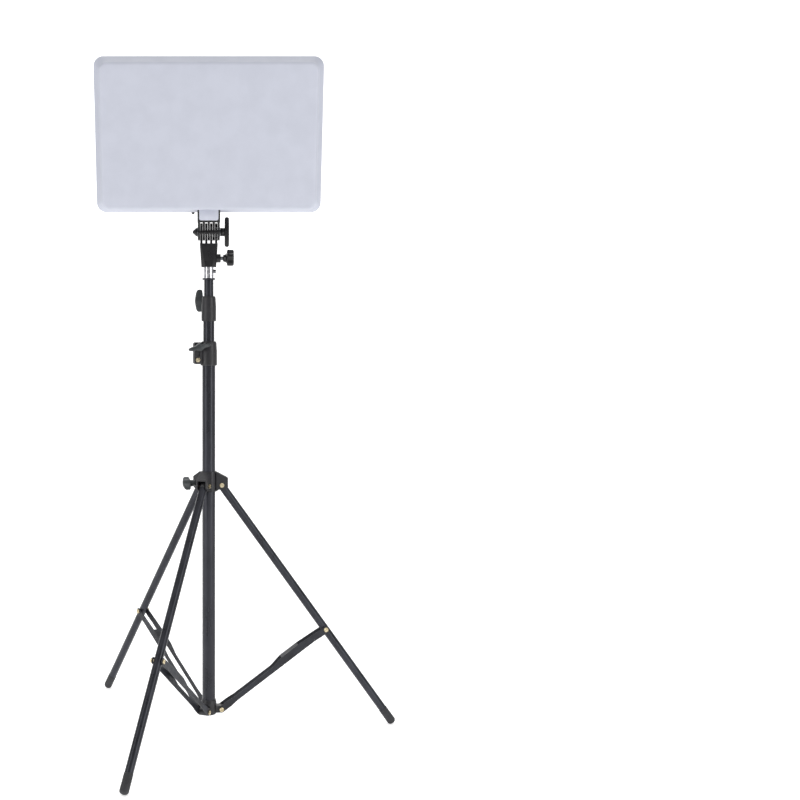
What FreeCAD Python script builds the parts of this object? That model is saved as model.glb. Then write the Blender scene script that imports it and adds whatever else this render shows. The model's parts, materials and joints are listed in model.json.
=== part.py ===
"""LED panel light on a folding three-legged stand, in millimetres, +Z up, facing -Y.

The origin is on the floor, on the axis of the mast. The light is drawn as it stands in use: legs
spread, mast nearly closed, panel tipped forward. Each piece is one object with its own Label.
"""
import FreeCAD, Part

import math
import operator
import os
import re

import Sketcher
from FreeCAD import Placement, Rotation, Vector

doc = FreeCAD.newDocument("panel_light")

# ---------------------------------------------------------------- driving dimensions
SIZES = {
    # mast: three tubes that slide in each other
    "outer_tube_radius": 10.5,
    "tube_step": 1.5,
    "tube_wall": 1.1,
    "running_gap": 0.06,
    "outer_tube_bottom": 31.7,
    "outer_tube_length": 582.3,
    "middle_tube_bottom": 118.0,
    "upper_tube_bottom": 162.0,
    "plug_length": 14.0,
    # clamp collars
    "lower_collar_height": 38.5,
    "lower_collar_azimuth": 193.0,
    "middle_tube_reach": 32.0,
    "upper_collar_height": 40.0,
    "upper_collar_azimuth": 78.0,
    "collar_wall": 2.8,
    "collar_seat": 19.0,
    "lug_half_width": 5.5,
    "lug_beyond_bolt": 5.6,
    "bolt_beyond_wall": 8.8,
    "lower_bolt_drop": 9.0,
    "upper_bolt_drop": 6.8,
    "clamp_bolt_radius": 2.5,
    "small_screw_radius": 2.0,
    "screw_head_radius": 3.6,
    "screw_head_height": 1.7,
    # wing knobs
    "knob_half_span": 17.9,
    "knob_neck": 8.0,
    "knob_depth": 12.2,
    "knob_hub_radius": 6.4,
    "wing_thickness": 7.0,
    # stud on top of the mast
    "upper_tube_reach": 26.0,
    "flange_height": 2.5,
    "flange_radius": 10.5,
    "spigot_radius": 8.0,
    "spigot_height": 45.0,
    "spigot_groove_depth": 1.4,
    # tilting head
    "socket_depth": 27.5,
    "adapter_base_half": 11.8,
    "adapter_base_depth": 10.8,
    "adapter_base_corner": 6.5,
    "adapter_top_half": 14.3,
    "adapter_top_depth": 12.5,
    "adapter_top_corner": 1.5,
    "pan_axis_rise": 14.1,
    "pan_boss_radius": 6.7,
    "pan_boss_reach": 18.9,
    "pan_screw_radius": 3.0,
    "star_radius": 14.0,
    "star_depth": 11.4,
    "tilt_rise": 55.6,
    "finger_radius": 14.0,
    "finger_thickness": 3.6,
    "finger_pitch": 7.8,
    "fork_floor": 18.5,
    "fork_roof": 17.0,
    "tilt_bolt_radius": 3.0,
    "tilt_washer": 0.75,
    "handle_length": 47.0,
    "handle_width": 15.4,
    "handle_end_width": 7.0,
    "handle_thickness": 7.3,
    # lamp head, measured from the tilt pivot
    "panel_tilt": 13.0,
    "panel_width": 353.0,
    "panel_height": 238.0,
    "panel_above_pivot": 32.0,
    "panel_corner": 15.0,
    "panel_before_pivot": 34.0,
    "shade_depth": 20.0,
    "shade_inset_side": 9.0,
    "shade_inset_end": 7.0,
    "shade_edge_round": 5.0,
    "skirt_depth": 12.0,
    "back_depth": 13.0,
    "back_inset": 3.0,
    "back_edge_round": 4.0,
    "shell_wall": 2.0,
    "tab_width": 30.4,
    "tab_bottom": 20.4,
    "tab_thickness": 1.8,
    "knuckle_rear": 18.5,
    "board_thickness": 1.6,
    "button_radius": 1.25,
    "button_low": 28.0,
    "button_pitch": 13.0,
    "button_travel": 0.8,
    "inlet_bore_radius": 1.25,
    "inlet_nose_radius": 2.5,
    "inlet_offset": 25.0,
    # stand
    "leg_heading": 7.0,
    "leg_pivot_radius": 20.0,
    "leg_pivot_height": 403.0,
    "leg_radius": 6.5,
    "leg_wall": 1.0,
    "foot_circle_radius": 303.7,
    "foot_radius": 7.2,
    "foot_flat_depth": 0.4,
    "foot_length": 24.0,
    "spider_above_pivot": 22.0,
    "spider_below_pivot": 10.0,
    "spider_wall": 2.4,
    "hood_reach": 30.0,
    "ear_thickness": 2.3,
    "ear_gap": 0.45,
    "pin_gap": 0.05,
    "hub_floor": 3.0,
    "hub_height": 23.3,
    "hub_wall": 1.9,
    "brace_pivot_height": 37.2,
    "brace_joint_share": 295.0,
    "brace_gap": 1.0,
    "brace_sheet": 1.1,
    "brace_end_radius": 5.25,
    "brace_rail_half": 3.9,
    "spider_knob_above_pivot": 3.0,
    "spider_knob_neck": 12.0,
}

sheet = doc.addObject("Spreadsheet::Sheet", "sizes")
for row, (alias, number) in enumerate(SIZES.items(), start=1):
    sheet.set("A%d" % row, alias)
    sheet.set("B%d" % row, str(number))
    sheet.setAlias("B%d" % row, alias)
doc.recompute()


# ---------------------------------------------------------------- sizes that carry their formula
class Size:
    """A number together with the sheet formula that gives it, so that both stay in step."""

    def __init__(self, value, formula):
        self.value = value
        self.formula = formula

    def __add__(self, other):
        return combine(self, "+", other)

    def __radd__(self, other):
        return combine(other, "+", self)

    def __sub__(self, other):
        return combine(self, "-", other)

    def __rsub__(self, other):
        return combine(other, "-", self)

    def __mul__(self, other):
        return combine(self, "*", other)

    def __rmul__(self, other):
        return combine(other, "*", self)

    def __truediv__(self, other):
        return combine(self, "/", other)

    def __neg__(self):
        return combine(0.0, "-", self)


SIGNS = {"+": operator.add, "-": operator.sub, "*": operator.mul, "/": operator.truediv}


def as_size(number):
    return number if isinstance(number, Size) else Size(float(number), "%.6f" % number)


def combine(left, sign, right):
    left, right = as_size(left), as_size(right)
    return Size(SIGNS[sign](left.value, right.value), "(%s %s (%s))" % (left.formula, sign, right.formula))


def mm(size):
    """The plain number of a size."""
    return as_size(size).value


class Sheet:
    """Gives each cell of the spreadsheet as a Size, by its alias."""

    def __getattr__(self, alias):
        return Size(float(sheet.get(alias)), "sizes." + alias)


d = Sheet()


def bind(thing, name, size):
    """Ties a property to its sheet formula, or sets it where it is a plain number."""
    if isinstance(size, Size):
        thing.setExpression(name, size.formula)
    elif not name.startswith("Placement") and not name.startswith("Attachment"):
        setattr(thing, name, size)


# ---------------------------------------------------------------- solids
TURN = {"X": Rotation(Vector(0, 1, 0), 90), "Y": Rotation(Vector(1, 0, 0), -90), "Z": Rotation()}


def put(thing, x, y, z, rotation=Rotation()):
    """Places a solid, each coordinate tied to its size."""
    thing.Placement = Placement(Vector(mm(x), mm(y), mm(z)), rotation)
    for axis, place in zip("xyz", (x, y, z)):
        bind(thing, "Placement.Base." + axis, place)
    return thing


def block(x, y, z):
    """A box between (low, high) on each axis."""
    box = doc.addObject("Part::Box", "block")
    for name, (low, high) in zip(("Length", "Width", "Height"), (x, y, z)):
        bind(box, name, high - low)
    return put(box, x[0], y[0], z[0])


def along_axis(thing, axis, low, centre):
    first, second = centre
    place = {"X": (low, first, second), "Y": (first, low, second), "Z": (first, second, low)}[axis]
    return put(thing, *place, TURN[axis])


def rod(radius, axis, span, centre=(0, 0)):
    """A cylinder along an axis over span = (low, high), about centre on the other two axes."""
    cylinder = doc.addObject("Part::Cylinder", "rod")
    bind(cylinder, "Radius", radius)
    bind(cylinder, "Height", span[1] - span[0])
    return along_axis(cylinder, axis, span[0], centre)


def cone(low_radius, high_radius, axis, span, centre=(0, 0)):
    """A rod that tapers from its low end to its high end."""
    taper = doc.addObject("Part::Cone", "taper")
    bind(taper, "Radius1", low_radius)
    bind(taper, "Radius2", high_radius)
    bind(taper, "Height", span[1] - span[0])
    return along_axis(taper, axis, span[0], centre)


def ball(radius, x=0, y=0, z=0):
    sphere = doc.addObject("Part::Sphere", "ball")
    bind(sphere, "Radius", radius)
    return put(sphere, x, y, z)


def nut(radius, axis, span, centre=(0, 0)):
    """A hexagonal prism, radius to its corners."""
    prism = doc.addObject("Part::Prism", "nut")
    prism.Polygon = 6
    bind(prism, "Circumradius", radius)
    bind(prism, "Height", span[1] - span[0])
    return along_axis(prism, axis, span[0], centre)


def joined(kind, solids):
    if len(solids) == 1:
        return solids[0]
    result = doc.addObject(kind, "joined")
    result.Shapes = list(solids)
    result.Refine = True
    return result


def fuse(*solids):
    return joined("Part::MultiFuse", solids)


def common(*solids):
    return joined("Part::MultiCommon", solids)


def cut(base, *tools):
    result = doc.addObject("Part::Cut", "cut")
    result.Base = base
    result.Tool = fuse(*tools)
    result.Refine = True
    return result


def group(*solids):
    """Separate solids that share one node."""
    compound = doc.addObject("Part::Compound", "group")
    compound.Links = list(solids)
    return compound


def moved(thing, place):
    """Places a piece as a whole. One whose own place is tied to its sizes goes in a group first."""
    whole = group(thing) if thing.ExpressionEngine else thing
    whole.Placement = place
    return whole


def rounded(thing, radius, chosen):
    """Rounds the edges that chosen(edge) picks."""
    doc.recompute()
    fillet = doc.addObject("Part::Fillet", "rounded")
    fillet.Base = thing
    picked = [number for number, edge in enumerate(thing.Shape.Edges, start=1) if chosen(edge)]
    fillet.Edges = [(number, mm(radius), mm(radius)) for number in picked]
    return fillet


def heading(degrees):
    """A turn about the mast."""
    return Placement(Vector(), Rotation(Vector(0, 0, 1), mm(degrees)))


# ---------------------------------------------------------------- bodies made from sketches
def new_body():
    return doc.addObject("PartDesign::Body", "body")


def new_sketch(body, plane, offset=0):
    """A sketch on one of its body's own origin planes, moved along the plane's normal."""
    sketch = body.newObject("Sketcher::SketchObject", "outline")
    support = next(feature for feature in body.Origin.OriginFeatures if feature.Role == plane)
    sketch.AttachmentSupport = [(support, "")]
    sketch.MapMode = "FlatFace"
    sketch.AttachmentOffset = Placement(Vector(0, 0, mm(offset)), Rotation())
    bind(sketch, "AttachmentOffset.Base.z", offset)
    return sketch


def hold(sketch, kind, *geometry, size):
    """Adds a dimension and ties it to its size."""
    number = sketch.addConstraint(Sketcher.Constraint(kind, *geometry, mm(size)))
    if isinstance(size, Size):
        sketch.setExpression("Constraints[%d]" % number, size.formula)


def draw_outline(sketch, points):
    """A closed outline of straight lines, each corner held by its two sizes."""
    corners = [Vector(mm(across), mm(up), 0) for across, up in points]
    sketch.addGeometry([Part.LineSegment(a, b) for a, b in zip(corners, corners[1:] + corners[:1])])
    for number, (across, up) in enumerate(points):
        previous = (number - 1) % len(points)
        sketch.addConstraint(Sketcher.Constraint("Coincident", previous, 2, number, 1))
        hold(sketch, "DistanceX", -1, 1, number, 1, size=across)
        hold(sketch, "DistanceY", -1, 1, number, 1, size=up)


def draw_rounded(sketch, width, height, corner, middle):
    """A rectangle with round corners, middle being the height of its centre."""
    w, h, r, m = mm(width) / 2, mm(height) / 2, mm(corner), mm(middle)
    quarter = math.pi / 2
    for turn, (sx, sy) in enumerate(((1, 1), (-1, 1), (-1, -1), (1, -1))):
        centre = Vector(sx * (w - r), m + sy * (h - r), 0)
        circle = Part.Circle(centre, Vector(0, 0, 1), r)
        sketch.addGeometry(Part.ArcOfCircle(circle, turn * quarter, (turn + 1) * quarter))
    ends = (
        (Vector(w - r, m + h, 0), Vector(r - w, m + h, 0)),
        (Vector(-w, m + h - r, 0), Vector(-w, m - h + r, 0)),
        (Vector(r - w, m - h, 0), Vector(w - r, m - h, 0)),
        (Vector(w, m - h + r, 0), Vector(w, m + h - r, 0)),
    )
    for side, (start, end) in enumerate(ends):
        sketch.addGeometry(Part.LineSegment(start, end))
        sketch.addConstraint(Sketcher.Constraint("Tangent", side, 2, 4 + side, 1))
        sketch.addConstraint(Sketcher.Constraint("Tangent", (side + 1) % 4, 1, 4 + side, 2))
        sketch.addConstraint(Sketcher.Constraint(("Horizontal", "Vertical")[side % 2], 4 + side))
    for arc in (1, 2, 3):
        sketch.addConstraint(Sketcher.Constraint("Equal", 0, arc))
    hold(sketch, "Radius", 0, size=corner)
    hold(sketch, "DistanceX", -1, 1, 7, 1, size=width / 2)
    hold(sketch, "DistanceX", 5, 1, 7, 2, size=width)
    hold(sketch, "DistanceY", -1, 1, 4, 1, size=middle + height / 2)
    hold(sketch, "DistanceY", 6, 1, 4, 2, size=height)


def turned(*points):
    """A body turned about Z from an outline of (radius, height) corners."""
    body = new_body()
    sketch = new_sketch(body, "XZ_Plane")
    draw_outline(sketch, points)
    revolution = body.newObject("PartDesign::Revolution", "turned")
    revolution.Profile = sketch
    revolution.ReferenceAxis = (sketch, ["V_Axis"])
    revolution.Angle = 360
    return body


def pad(body, sketch, length):
    feature = body.newObject("PartDesign::Pad", "pad")
    feature.Profile = sketch
    bind(feature, "Length", length)
    return feature


def milled(plane, points, low, high):
    """A body of even thickness from an outline, between low and high along the plane's normal."""
    body = new_body()
    inward = plane == "XZ_Plane"
    sketch = new_sketch(body, plane, -high if inward else low)
    draw_outline(sketch, points)
    pad(body, sketch, high - low)
    return body


def slab(width, height, corner, middle, low, high):
    """A round-cornered rectangular body in the XZ plane, between low and high along Y."""
    body = new_body()
    sketch = new_sketch(body, "XZ_Plane", -high)
    draw_rounded(sketch, width, height, corner, middle)
    pad(body, sketch, high - low)
    return body


def flared_slab(front, rear, middle, low, high):
    """A round-cornered body that grows from front to rear = (width, height, corner) along Y."""
    body = new_body()
    sections = []
    for (width, height, corner), place in ((front, low), (rear, high)):
        sections.append(new_sketch(body, "XZ_Plane", -place))
        draw_rounded(sections[-1], width, height, corner, middle)
    loft = body.newObject("PartDesign::AdditiveLoft", "flare")
    loft.Profile = sections[0]
    loft.Sections = [sections[1]]
    loft.Ruled = True
    return body


# ---------------------------------------------------------------- nodes
nodes = []


def node(label, thing, place=None):
    """Names a finished piece and gives it its place."""
    piece = thing if place is None else moved(thing, place)
    piece.Label = label
    nodes.append(piece)


def slotted_screw(radius, axis_start, axis_end, centre, head_side, head_height=None):
    """A slotted screw along Y: its head outside axis_end, on the side that head_side gives."""
    height = d.screw_head_height if head_height is None else head_height
    near, far = sorted((axis_start, axis_end), key=mm)
    x, z = centre
    shank = rod(radius, "Y", (near, far), centre)
    face = far if head_side > 0 else near
    low, high = (face, face + height) if head_side > 0 else (face - height, face)
    head = rod(d.screw_head_radius, "Y", (low, high), centre)
    depth = height * 0.5
    slot_span = (high - depth, high + 1) if head_side > 0 else (low - 1, low + depth)
    slot = block((x - 5, x + 5), slot_span, (z - 0.5, z + 0.5))
    return cut(fuse(shank, head), slot)


# ---------------------------------------------------------------- mast
def tube(radius, bottom, top):
    inside = radius - d.tube_wall
    return turned((inside, bottom), (radius, bottom), (radius, top), (inside, top))


def plug(radius, host_radius, bottom):
    """A plastic end plug: a rim that slides in the next tube out and a shank inside its own tube."""
    rim = host_radius - d.tube_wall - d.running_gap
    shank = radius - d.tube_wall
    return turned(
        (shank - 2, bottom - 5),
        (rim - 0.6, bottom - 5),
        (rim, bottom - 4.4),
        (rim, bottom),
        (shank, bottom),
        (shank, bottom + d.plug_length),
        (shank - 2, bottom + d.plug_length),
    )


middle_tube_radius = d.outer_tube_radius - d.tube_step
upper_tube_radius = middle_tube_radius - d.tube_step
outer_tube_top = d.outer_tube_bottom + d.outer_tube_length
lower_collar_bottom = outer_tube_top - d.collar_seat
upper_collar_bottom = lower_collar_bottom + d.lower_collar_height + d.middle_tube_reach
middle_tube_top = upper_collar_bottom + d.collar_seat
flange_bottom = upper_collar_bottom + d.upper_collar_height + d.upper_tube_reach
flange_top = flange_bottom + d.flange_height
spigot_top = flange_top + d.spigot_height
adapter_bottom = spigot_top - d.socket_depth
pan_axis = adapter_bottom + d.pan_axis_rise
tilt_height = adapter_bottom + d.tilt_rise
node("outer_tube", tube(d.outer_tube_radius, d.outer_tube_bottom, outer_tube_top))
node("middle_tube", tube(middle_tube_radius, d.middle_tube_bottom, middle_tube_top))
node("upper_tube", tube(upper_tube_radius, d.upper_tube_bottom, flange_bottom))
node("middle_tube_plug", plug(middle_tube_radius, d.outer_tube_radius, d.middle_tube_bottom))
node("upper_tube_plug", plug(upper_tube_radius, middle_tube_radius, d.upper_tube_bottom))

# stud that the lamp head drops onto, its groove level with the clamp screw
spigot_shank = upper_tube_radius - d.tube_wall
groove_radius = d.spigot_radius - d.spigot_groove_depth
spigot = turned(
    (0, flange_bottom - 26),
    (spigot_shank, flange_bottom - 26),
    (spigot_shank, flange_top),
    (d.spigot_radius, flange_top),
    (d.spigot_radius, pan_axis - 4.5),
    (groove_radius, pan_axis - 3.2),
    (groove_radius, pan_axis + 3.2),
    (d.spigot_radius, pan_axis + 4.5),
    (d.spigot_radius, spigot_top - 1.2),
    (d.spigot_radius - 1.2, spigot_top),
    (0, spigot_top),
)
stop_height = flange_top + 11
node("spigot", cut(spigot, rod(1.6, "X", (2.9, 9), (0, stop_height))))
node("spigot_flange", turned(
    (spigot_shank, flange_bottom),
    (d.flange_radius - 0.5, flange_bottom),
    (d.flange_radius, flange_bottom + 0.5),
    (d.flange_radius, flange_top - 0.5),
    (d.flange_radius - 0.5, flange_top),
    (spigot_shank, flange_top),
))
stop_screw = fuse(
    rod(1.6, "X", (3, 9), (0, stop_height)), rod(2.7, "X", (d.spigot_radius, 11.6), (0, stop_height)))
node("spigot_screw", cut(
    stop_screw, block((10.8, 12.5), (-3.5, 3.5), (stop_height - 0.4, stop_height + 0.4))))


# ---------------------------------------------------------------- clamp collars and their wing knobs
def wing_knob(neck):
    """A two-winged knob about Z, its neck starting at height 0 on the bolt."""
    span, top = d.knob_half_span, neck + d.knob_depth
    half = d.wing_thickness / 2
    wings = milled(
        "XZ_Plane",
        (
            (-span, neck + 1.4),
            (-span + 4, neck),
            (span - 4, neck),
            (span, neck + 1.4),
            (span, neck + 7.6),
            (span - 3.4, neck + 10.2),
            (5, top),
            (-5, top),
            (-span + 3.4, neck + 10.2),
            (-span, neck + 7.6),
        ),
        -half,
        half,
    )
    soft_wings = rounded(wings, 1.6, lambda edge: edge.Length > 3 and abs(edge.Vertexes[0].Y) > 1)
    hub = turned(
        (0, 0),
        (d.knob_hub_radius - 1.4, 0),
        (d.knob_hub_radius, neck),
        (d.knob_hub_radius, top - 1.2),
        (d.knob_hub_radius - 1.4, top),
        (0, top),
    )
    bore = rod(d.clamp_bolt_radius + d.running_gap, "Z", (-1, neck + 6.3))
    return cut(fuse(soft_wings, hub), bore)


def clamp_collar(
        name, bottom, height, bolt_drop, fixed_radius, sliding_radius, azimuth, knob_side, knob_angle):
    """A split sleeve on the end of one tube that clamps the next, with its lug, bolt and knob.

    The lug points along +X before the sleeve is turned to its azimuth. knob_side is the side of
    the lug, along Y, that the knob is on.
    """
    top = bottom + height
    grip = sliding_radius + d.running_gap
    wall_bottom = fixed_radius + d.collar_wall
    wall_top = grip + d.collar_wall
    seat = bottom + d.collar_seat
    sleeve = turned(
        (fixed_radius, bottom),
        (wall_bottom - 0.8, bottom),
        (wall_bottom, bottom + 1.2),
        (wall_bottom, bottom + height * 0.62),
        (wall_top + 0.5, top - 2.2),
        (wall_top - 0.4, top),
        (grip, top),
        (grip, seat),
        (fixed_radius, seat),
    )
    bolt_x = fixed_radius + d.bolt_beyond_wall
    reach = bolt_x + d.lug_beyond_bolt
    half = d.lug_half_width
    bolt_z = top - bolt_drop
    screw_z = bottom + 9.0
    lug = block((fixed_radius + 0.4, reach), (-half, half), (bottom + 2.4, top - 1.4))
    soft_lug = rounded(
        lug, 3.0, lambda edge: abs(edge.Length - mm(half) * 2) < 0.01 and edge.Vertexes[0].X > 15)
    recesses = [
        block((bolt_x - 3.6, bolt_x + 2.6), span, (screw_z + 5.6, bolt_z - 5.6))
        for span in ((-half - 1, -half + 2.4), (half - 2.4, half + 1))
    ]
    slit = block((0, reach + 1), (-0.7, 0.7), (seat + 1.5, top + 1))
    ear_slit = block((fixed_radius + 1.2, reach + 1), (-0.7, 0.7), (bottom, top + 1))
    bolt_hole = rod(d.clamp_bolt_radius, "Y", (-half - 1, half + 1), (bolt_x, bolt_z))
    screw_hole = rod(d.small_screw_radius, "Y", (-half - 1, half + 1), (bolt_x, screw_z))
    passage = rod(grip, "Z", (seat, top + 1))
    tube_room = rod(fixed_radius, "Z", (bottom - 1, seat))
    turn = heading(azimuth)
    node(name + "_collar", cut(
        fuse(sleeve, soft_lug), *recesses, slit, ear_slit, bolt_hole, screw_hole, passage, tube_room), turn)

    knob_seat = half + 0.4
    bolt_end = knob_seat + d.knob_neck + 5.5
    if knob_side > 0:
        bolt = slotted_screw(d.clamp_bolt_radius, -half, bolt_end, (bolt_x, bolt_z), -1)
        screw = slotted_screw(d.small_screw_radius, -half, half, (bolt_x, screw_z), -1)
        screw_nut = nut(3.9, "Y", (half, half + 2.6), (bolt_x, screw_z))
    else:
        bolt = slotted_screw(d.clamp_bolt_radius, -bolt_end, half, (bolt_x, bolt_z), 1)
        screw = slotted_screw(d.small_screw_radius, -half, half, (bolt_x, screw_z), 1)
        screw_nut = nut(3.9, "Y", (-half - 2.6, -half), (bolt_x, screw_z))
    node(name + "_collar_screws", group(bolt, fuse(screw, screw_nut)), turn)

    outward = Rotation(Vector(1, 0, 0), -90 * knob_side)
    wing_turn = Rotation(Vector(0, 0, 1), knob_angle)
    seat_place = Placement(Vector(mm(bolt_x), mm(knob_seat) * knob_side, mm(bolt_z)), outward * wing_turn)
    node(name + "_knob", wing_knob(d.knob_neck), turn * seat_place)


clamp_collar(
    "lower", lower_collar_bottom, d.lower_collar_height, d.lower_bolt_drop,
    d.outer_tube_radius, middle_tube_radius,
    d.lower_collar_azimuth, knob_side=1, knob_angle=12)
clamp_collar(
    "upper", upper_collar_bottom, d.upper_collar_height, d.upper_bolt_drop,
    middle_tube_radius, upper_tube_radius,
    d.upper_collar_azimuth, knob_side=1, knob_angle=90)

# ---------------------------------------------------------------- head that pans and carries the tilt
fork_floor = tilt_height - d.fork_floor


def octagon(half, depth, corner):
    """A rectangle with its corners cut off, half wide and depth deep from its centre."""
    side, face = half - corner, depth - corner
    return (
        (half, -face), (half, face), (side, depth), (-side, depth),
        (-half, face), (-half, -face), (-side, -depth), (side, -depth),
    )


head_body = new_body()
head_sections = []
for half, depth, corner, height in (
    (d.adapter_base_half, d.adapter_base_depth, d.adapter_base_corner, adapter_bottom),
    (d.adapter_top_half, d.adapter_top_depth, d.adapter_top_corner, fork_floor),
):
    head_sections.append(new_sketch(head_body, "XY_Plane", height))
    draw_outline(head_sections[-1], octagon(half, depth, corner))
head_loft = head_body.newObject("PartDesign::AdditiveLoft", "tapered_block")
head_loft.Profile = head_sections[0]
head_loft.Sections = [head_sections[1]]
head_loft.Ruled = True


def finger(x, radius, pivot_z, root_z):
    """One finger of the hinge: a disc about the pivot carried on to its root."""
    span = (x - d.finger_thickness / 2, x + d.finger_thickness / 2)
    disc = rod(radius, "X", span, (0, pivot_z))
    low, high = sorted((root_z, pivot_z), key=mm)
    return fuse(disc, block(span, (-d.adapter_top_depth, d.adapter_top_depth), (low, high)))


lower_fingers = [
    finger(d.finger_pitch * place, d.finger_radius, tilt_height, fork_floor - 0.5)
    for place in (-1.5, -0.5, 0.5, 1.5)
]
hinge_hole = d.tilt_bolt_radius + d.running_gap
half_hinge = d.finger_pitch * 2 + d.finger_thickness / 2
node("adapter_body", cut(
    fuse(head_body, rod(d.pan_boss_radius, "X", (9.5, d.pan_boss_reach), (0, pan_axis)), *lower_fingers),
    rod(d.spigot_radius + d.running_gap, "Z", (adapter_bottom - 1, spigot_top + 0.5)),
    rod(4.0, "X", (0, d.pan_boss_reach + 1), (0, pan_axis)),
    rod(hinge_hole, "X", (-half_hinge, half_hinge), (0, tilt_height)),
))
insert_inner = d.pan_screw_radius + d.running_gap
node("pan_insert", cut(
    rod(4.0, "X", (d.spigot_radius + 0.8, d.pan_boss_reach - 0.3), (0, pan_axis)),
    rod(insert_inner, "X", (0, d.pan_boss_reach + 1), (0, pan_axis)),
))

# clamp screw of the pan, with a star grip
star_bottom = d.pan_boss_reach + 9.6
star_lobe = d.star_radius * 0.33
star_core = rod(d.star_radius * 0.72, "X", (star_bottom, star_bottom + d.star_depth), (0, pan_axis))
star_lobes = []
for turn in range(5):
    angle = math.radians(72 * turn)
    swing = d.star_radius - star_lobe
    centre = (swing * math.sin(angle), pan_axis + swing * math.cos(angle))
    star_lobes.append(rod(star_lobe, "X", (star_bottom, star_bottom + d.star_depth - 0.6), centre))
star_hub = cone(5.0, d.star_radius * 0.5, "X", (d.pan_boss_reach + 3.5, star_bottom), (0, pan_axis))
node("pan_knob", cut(
    fuse(star_core, star_hub, *star_lobes),
    rod(d.pan_screw_radius, "X", (0, star_bottom + 6), (0, pan_axis)),
))
node("pan_screw", rod(d.pan_screw_radius, "X", (groove_radius + 0.3, star_bottom + 6), (0, pan_axis)))

# tilt bolt with its cap nut, washers and T-handle
washer_inner = half_hinge + 0.15
washer_outer = washer_inner + d.tilt_washer
pivot = (0, tilt_height)
nut_tip = washer_outer + 7.2
node("tilt_nut", cut(
    fuse(
        rod(6.6, "X", (-washer_outer - 2.0, -washer_outer), pivot),
        cone(1.6, 6.6, "X", (-nut_tip, -washer_outer - 2.0), pivot),
    ),
    rod(hinge_hole, "X", (-washer_outer - 3.6, -washer_outer + 1), pivot),
))
node("tilt_washers", group(*[
    cut(rod(7.2, "X", span, pivot), rod(hinge_hole, "X", (-40, 40), pivot))
    for span in ((-washer_outer, -washer_inner), (washer_inner, washer_outer))
]))
handle_face = washer_outer + 6.6
handle_back = handle_face + d.handle_thickness
half_length = d.handle_length / 2
half_width = d.handle_width / 2
end_half = d.handle_end_width / 2
handle_outline = [
    (side * across, tilt_height + up)
    for side, pairs in (
        (1, ((end_half, -half_length), (half_width, -6.0), (half_width, 6.0), (end_half, half_length))),
        (-1, ((end_half, half_length), (half_width, 6.0), (half_width, -6.0), (end_half, -half_length))),
    )
    for across, up in pairs
]
handle_bar = milled("YZ_Plane", handle_outline, handle_face, handle_back)
soft_bar = rounded(handle_bar, 1.5, lambda edge: edge.Vertexes[0].X > mm(handle_face) + 1)
node("tilt_handle", cut(
    fuse(soft_bar, rod(6.7, "X", (washer_outer + 0.2, handle_face + 2), pivot)),
    rod(d.tilt_bolt_radius, "X", (0, handle_face + 4), pivot),
))
node("tilt_bolt", rod(d.tilt_bolt_radius, "X", (-washer_outer - 3.4, handle_face + 4), pivot))

# ---------------------------------------------------------------- lamp head, drawn upright about its pivot
LAMP = Placement(Vector(0, 0, mm(tilt_height)), Rotation(Vector(1, 0, 0), mm(d.panel_tilt)))
wall = d.shell_wall
front = -d.panel_before_pivot
skirt_front = front + d.shade_depth
joint = skirt_front + d.skirt_depth
rear = joint + d.back_depth
low_edge = d.panel_above_pivot
middle = low_edge + d.panel_height / 2
shade_width = d.panel_width - d.shade_inset_side * 2
shade_height = d.panel_height - d.shade_inset_end * 2
shade_corner = d.panel_corner - 1
shade_floor = low_edge + d.shade_inset_end
lip = 12.0
screw_inset = 12.0
screw_spots = [
    (across * (d.panel_width / 2 - screw_inset) if across in (-1, 1) else across, middle + up * (
        d.panel_height / 2 - screw_inset))
    for across in (-1, -60, 60, 1)
    for up in (-1, 1)
]

shade = slab(shade_width, shade_height, shade_corner, middle, front, skirt_front)
soft_shade = rounded(shade, d.shade_edge_round, lambda edge: all(
    abs(vertex.Y - mm(front)) < 0.01 for vertex in edge.Vertexes))
skirt = flared_slab(
    (shade_width, shade_height, shade_corner), (d.panel_width, d.panel_height, d.panel_corner),
    middle, skirt_front, joint)
hollow = slab(
    shade_width - wall * 2, shade_height - wall * 2, shade_corner - wall, middle, front + wall, skirt_front)
skirt_hollow = flared_slab(
    (shade_width - wall * 2, shade_height - wall * 2, shade_corner - wall),
    (d.panel_width - wall * 2, d.panel_height - wall * 2, d.panel_corner - wall),
    middle, skirt_front, joint - wall)
opening = slab(
    d.panel_width - lip * 2, d.panel_height - lip * 2, d.panel_corner - 4, middle,
    joint - wall - 1, joint + 1)
tab_rear = skirt_front + d.tab_thickness
tab = rounded(
    block((-d.tab_width / 2, d.tab_width / 2), (skirt_front, tab_rear), (d.tab_bottom, shade_floor + 0.5)),
    3.0,
    lambda edge: abs(edge.Length - mm(d.tab_thickness)) < 0.01 and edge.Vertexes[0].Z < mm(d.tab_bottom) + 1)
shade_bosses = [rod(3.4, "Y", (skirt_front, joint), spot) for spot in screw_spots]
cavity = cut(fuse(hollow, skirt_hollow, opening), *shade_bosses)
node("diffuser_cover", cut(
    fuse(soft_shade, skirt, tab), cavity,
    *[rod(1.3, "Y", (skirt_front + 1.5, joint + 1), spot) for spot in screw_spots],
), LAMP)

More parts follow.
